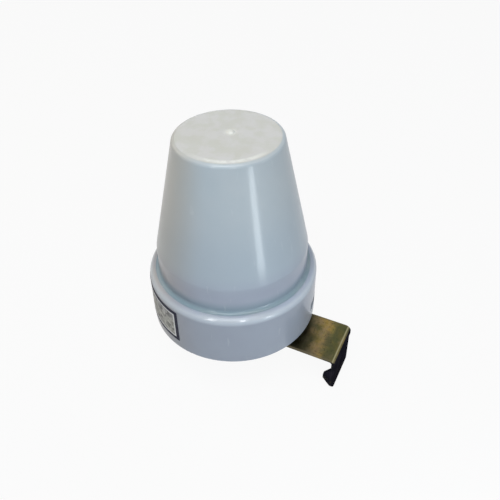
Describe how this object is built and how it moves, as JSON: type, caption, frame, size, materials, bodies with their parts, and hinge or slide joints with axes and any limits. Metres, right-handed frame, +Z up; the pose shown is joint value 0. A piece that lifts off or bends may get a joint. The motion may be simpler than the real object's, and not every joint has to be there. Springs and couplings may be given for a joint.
{
  "type": "photocell switch",
  "caption": "Dusk-to-dawn photocell switch: opal cone cover with a stepped skirt on a snap-in base, switching circuit inside, and a folded steel wall bracket.",
  "frame": {"origin": "centre of the lead hole on the underside of the base plate, in the plane where the bracket seats", "axes": "+Z up along the cover's axis, +X along the bracket towards the wall"},
  "size_m": [0.086, 0.07, 0.1068],
  "materials": {
    "opal_cover": "glossy opal bluish-grey moulding",
    "base_moulding": "fine matt moulding",
    "grommet_rubber": "matt black rubber",
    "passivated_steel": "yellow-passivated zinc with olive and pink tints",
    "bright_zinc": "bright zinc plate",
    "label_film": "printed film, dark blue border on grey",
    "board_laminate": "brown paper laminate",
    "relay_case": "blue moulded case",
    "capacitor_box": "yellow moulded box",
    "can_sleeve": "dark shrink sleeve on a can",
    "black_epoxy": "black moulded epoxy",
    "diode_glass": "orange glass body",
    "resistor_lacquer": "tan lacquer",
    "varistor_coating": "blue dipped coating",
    "photoresistor_face": "clear coat on a ceramic disc",
    "solder": "bright solder"
  },
  "bodies": {
    "root": {"cover": "opal_cover", "base_plate": "base_moulding", "lead_grommet": "grommet_rubber", "mounting_bracket": "passivated_steel", "bracket_screws": "bright_zinc", "bracket_washers": "bright_zinc", "bracket_nuts": "bright_zinc", "rating_label": "label_film", "circuit_board": "board_laminate", "board_screws": "bright_zinc", "relay": "relay_case", "dropper_capacitor": "capacitor_box", "smoothing_capacitor": "can_sleeve", "timing_capacitor": "can_sleeve", "rectifier_diodes": "black_epoxy", "zener_diode": "diode_glass", "resistors": "resistor_lacquer", "transistors": "black_epoxy", "varistor": "varistor_coating", "photoresistor": "photoresistor_face", "photoresistor_sleeves": "black_epoxy", "solder_joints": "solder"}
  },
  "joints": []
}
